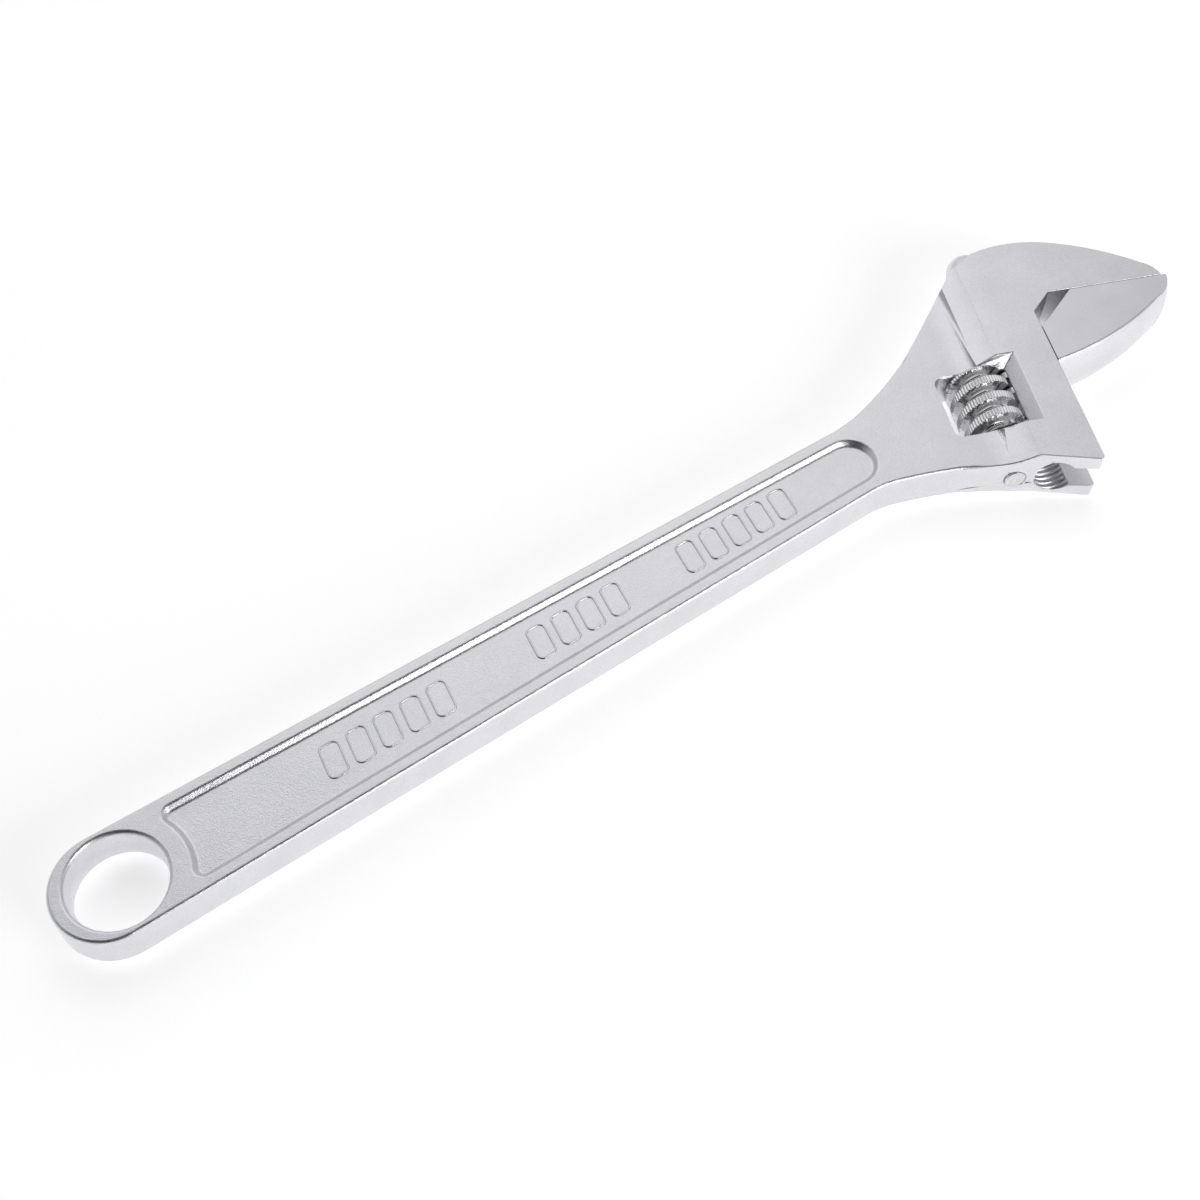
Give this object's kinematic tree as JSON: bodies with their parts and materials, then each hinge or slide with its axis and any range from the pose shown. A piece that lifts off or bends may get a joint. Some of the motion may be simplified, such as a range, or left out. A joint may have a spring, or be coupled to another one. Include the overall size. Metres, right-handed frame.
{
  "type": "adjustable wrench",
  "caption": "Adjustable wrench with a forged I-section handle, round hang hole, angled head and a movable jaw driven by a knurled worm.",
  "frame": {"origin": "centre of the hang hole at mid thickness", "axes": "+X along the handle towards the head, +Y towards the side of the fixed jaw, +Z out of the upper face"},
  "size_m": [0.3782, 0.09, 0.0192],
  "materials": {
    "body_plating": "satin nickel-chrome plating over a fine blasted forging, with ground head faces",
    "jaw_plating": "satin nickel-chrome plating, ground side faces, forged outer side",
    "knurl_plating": "bright plating over turned and knurled steel",
    "spring_steel": "oiled spring steel",
    "pin_steel": "plated, staked end"
  },
  "bodies": {
    "body": {"wrench_body": "body_plating", "worm_pin": "pin_steel", "worm_spring": "spring_steel"},
    "jaw": {"movable_jaw": "jaw_plating"},
    "knurl": {"adjusting_knurl": "knurl_plating"}
  },
  "joints": [
    {"name": "jaw_slide", "type": "slide", "parent": "body", "child": "jaw", "axis": [-0.3827, -0.9239, 0], "range_m": [0, 0.044]},
    {"name": "knurl_spin", "type": "hinge", "parent": "body", "child": "knurl", "pos_m": [0.28148, -0.00542, 0], "axis": [0.3827, 0.9239, 0], "range_deg": [0, 2555.3]}
  ],
  "couplings": [
    {"joint": "knurl_spin", "follows": "jaw_slide", "rad_per_m": 1013.4}
  ]
}
